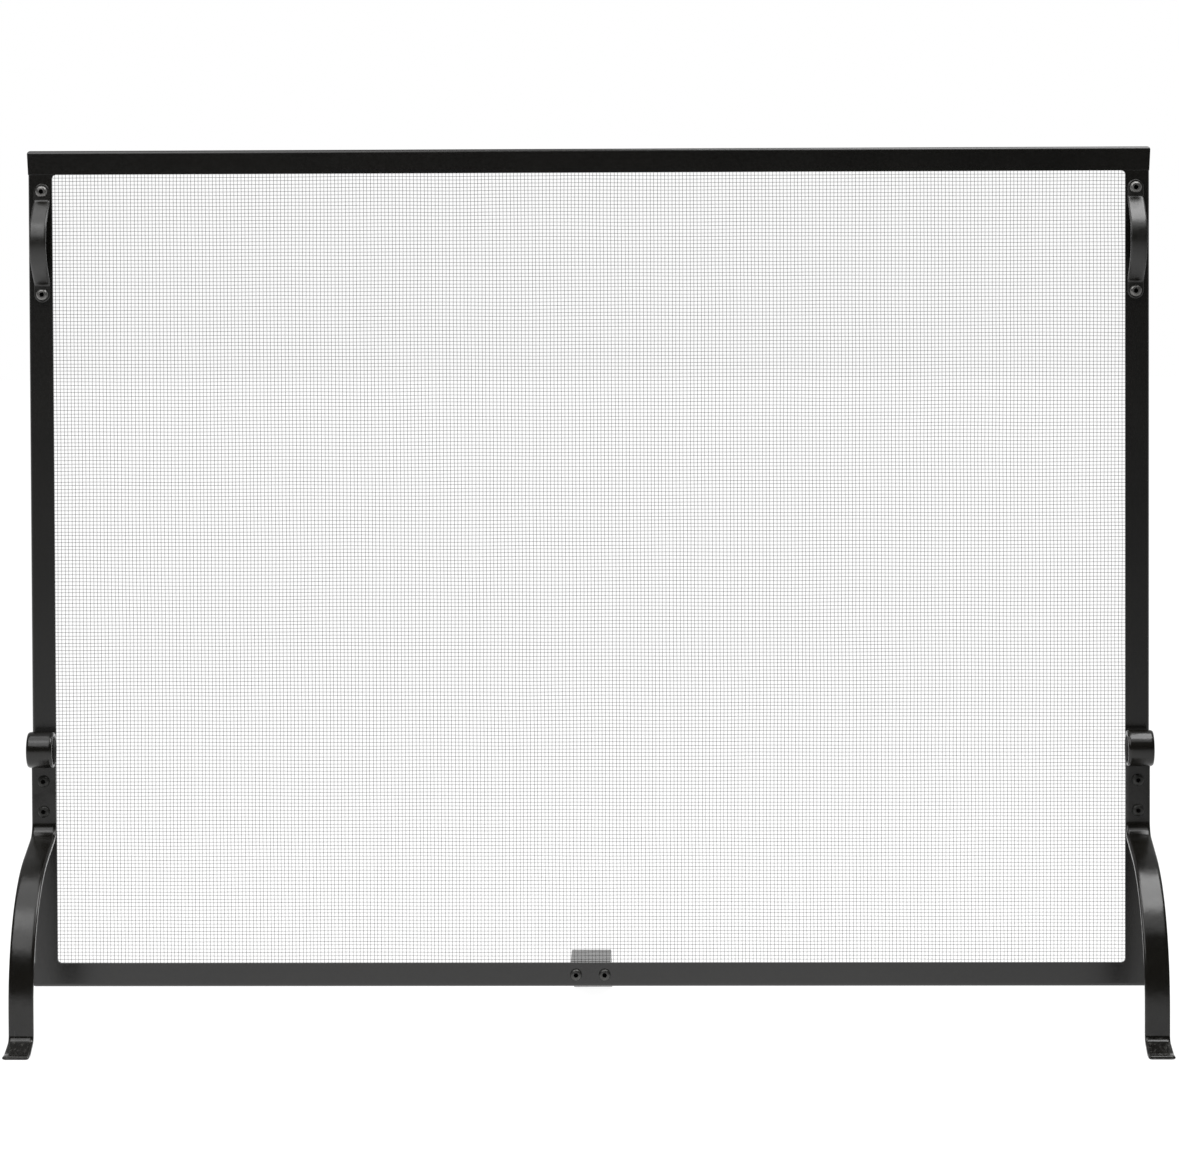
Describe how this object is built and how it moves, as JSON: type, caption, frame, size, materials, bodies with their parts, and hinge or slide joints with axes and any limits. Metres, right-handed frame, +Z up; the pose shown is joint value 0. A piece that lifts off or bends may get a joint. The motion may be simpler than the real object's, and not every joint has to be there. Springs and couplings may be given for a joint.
{
  "type": "fireplace screen",
  "caption": "Flat free-standing fireplace screen: angle-steel frame clamping woven wire mesh, with bow handles, forged front legs with rolled eyes and a bent rear foot.",
  "frame": {"origin": "on the floor, below the middle of the whole screen's width and depth", "axes": "+X along the frame's width, to the right seen from the front; +Y from front to back; +Z up"},
  "size_m": [0.992, 0.338, 0.774],
  "materials": {
    "frame_steel": "satin black powder coat",
    "forged_steel": "satin graphite powder coat over forged steel",
    "woven_wire": "black painted woven steel wire",
    "black_fasteners": "black oxide"
  },
  "bodies": {
    "root": {"top_rail": "frame_steel", "bottom_rail": "frame_steel", "left_stile": "frame_steel", "right_stile": "frame_steel", "mesh_panel": "woven_wire", "top_bar": "frame_steel", "bottom_bar": "frame_steel", "left_bar": "frame_steel", "right_bar": "frame_steel", "bar_studs": "black_fasteners", "bar_nuts": "black_fasteners", "left_handle": "forged_steel", "right_handle": "forged_steel", "left_handle_screws": "black_fasteners", "right_handle_screws": "black_fasteners", "left_handle_nuts": "black_fasteners", "right_handle_nuts": "black_fasteners", "left_leg": "forged_steel", "right_leg": "forged_steel", "left_leg_bolts": "black_fasteners", "right_leg_bolts": "black_fasteners", "left_leg_nuts": "black_fasteners", "right_leg_nuts": "black_fasteners", "rear_foot": "forged_steel", "rear_foot_screws": "black_fasteners"}
  },
  "joints": []
}
